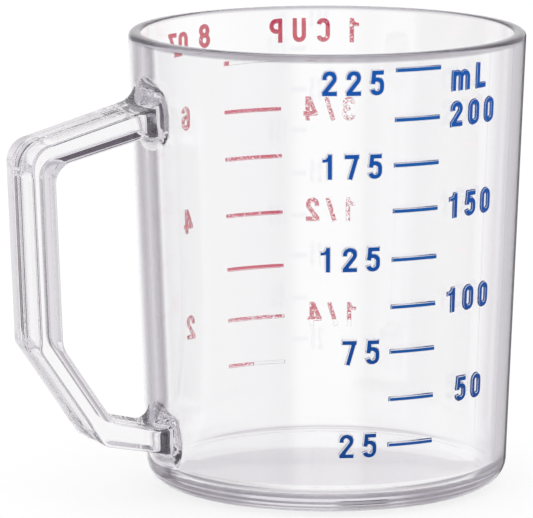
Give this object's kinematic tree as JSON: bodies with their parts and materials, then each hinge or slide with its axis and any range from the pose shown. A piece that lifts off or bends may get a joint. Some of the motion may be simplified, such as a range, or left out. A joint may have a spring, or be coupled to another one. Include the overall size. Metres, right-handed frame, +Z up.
{
  "type": "measuring cup",
  "caption": "Clear plastic measuring cup with a tapered round body, an angled strap handle and raised blue metric and red US graduation lines.",
  "frame": {"origin": "middle of the flat underside, on the cup's axis", "axes": "+Z up along the cup's axis; the handle points along -X; the metric scale faces -Y and the US scale faces +Y"},
  "size_m": [0.0928, 0.0703, 0.08],
  "materials": {
    "clear_plastic": "clear polished polycarbonate",
    "blue_ink": "blue colour on the crest of a raised mark",
    "red_ink": "red colour on the crest of a raised mark"
  },
  "bodies": {
    "root": {"cup_body": "clear_plastic", "handle": "clear_plastic", "metric_line_25ml": "blue_ink", "metric_line_50ml": "blue_ink", "metric_line_75ml": "blue_ink", "metric_line_100ml": "blue_ink", "metric_line_125ml": "blue_ink", "metric_line_150ml": "blue_ink", "metric_line_175ml": "blue_ink", "metric_line_200ml": "blue_ink", "metric_line_225ml": "blue_ink", "us_line_1oz": "red_ink", "us_line_2oz": "red_ink", "us_line_3oz": "red_ink", "us_line_4oz": "red_ink", "us_line_5oz": "red_ink", "us_line_6oz": "red_ink", "us_line_7oz": "red_ink"}
  },
  "joints": []
}
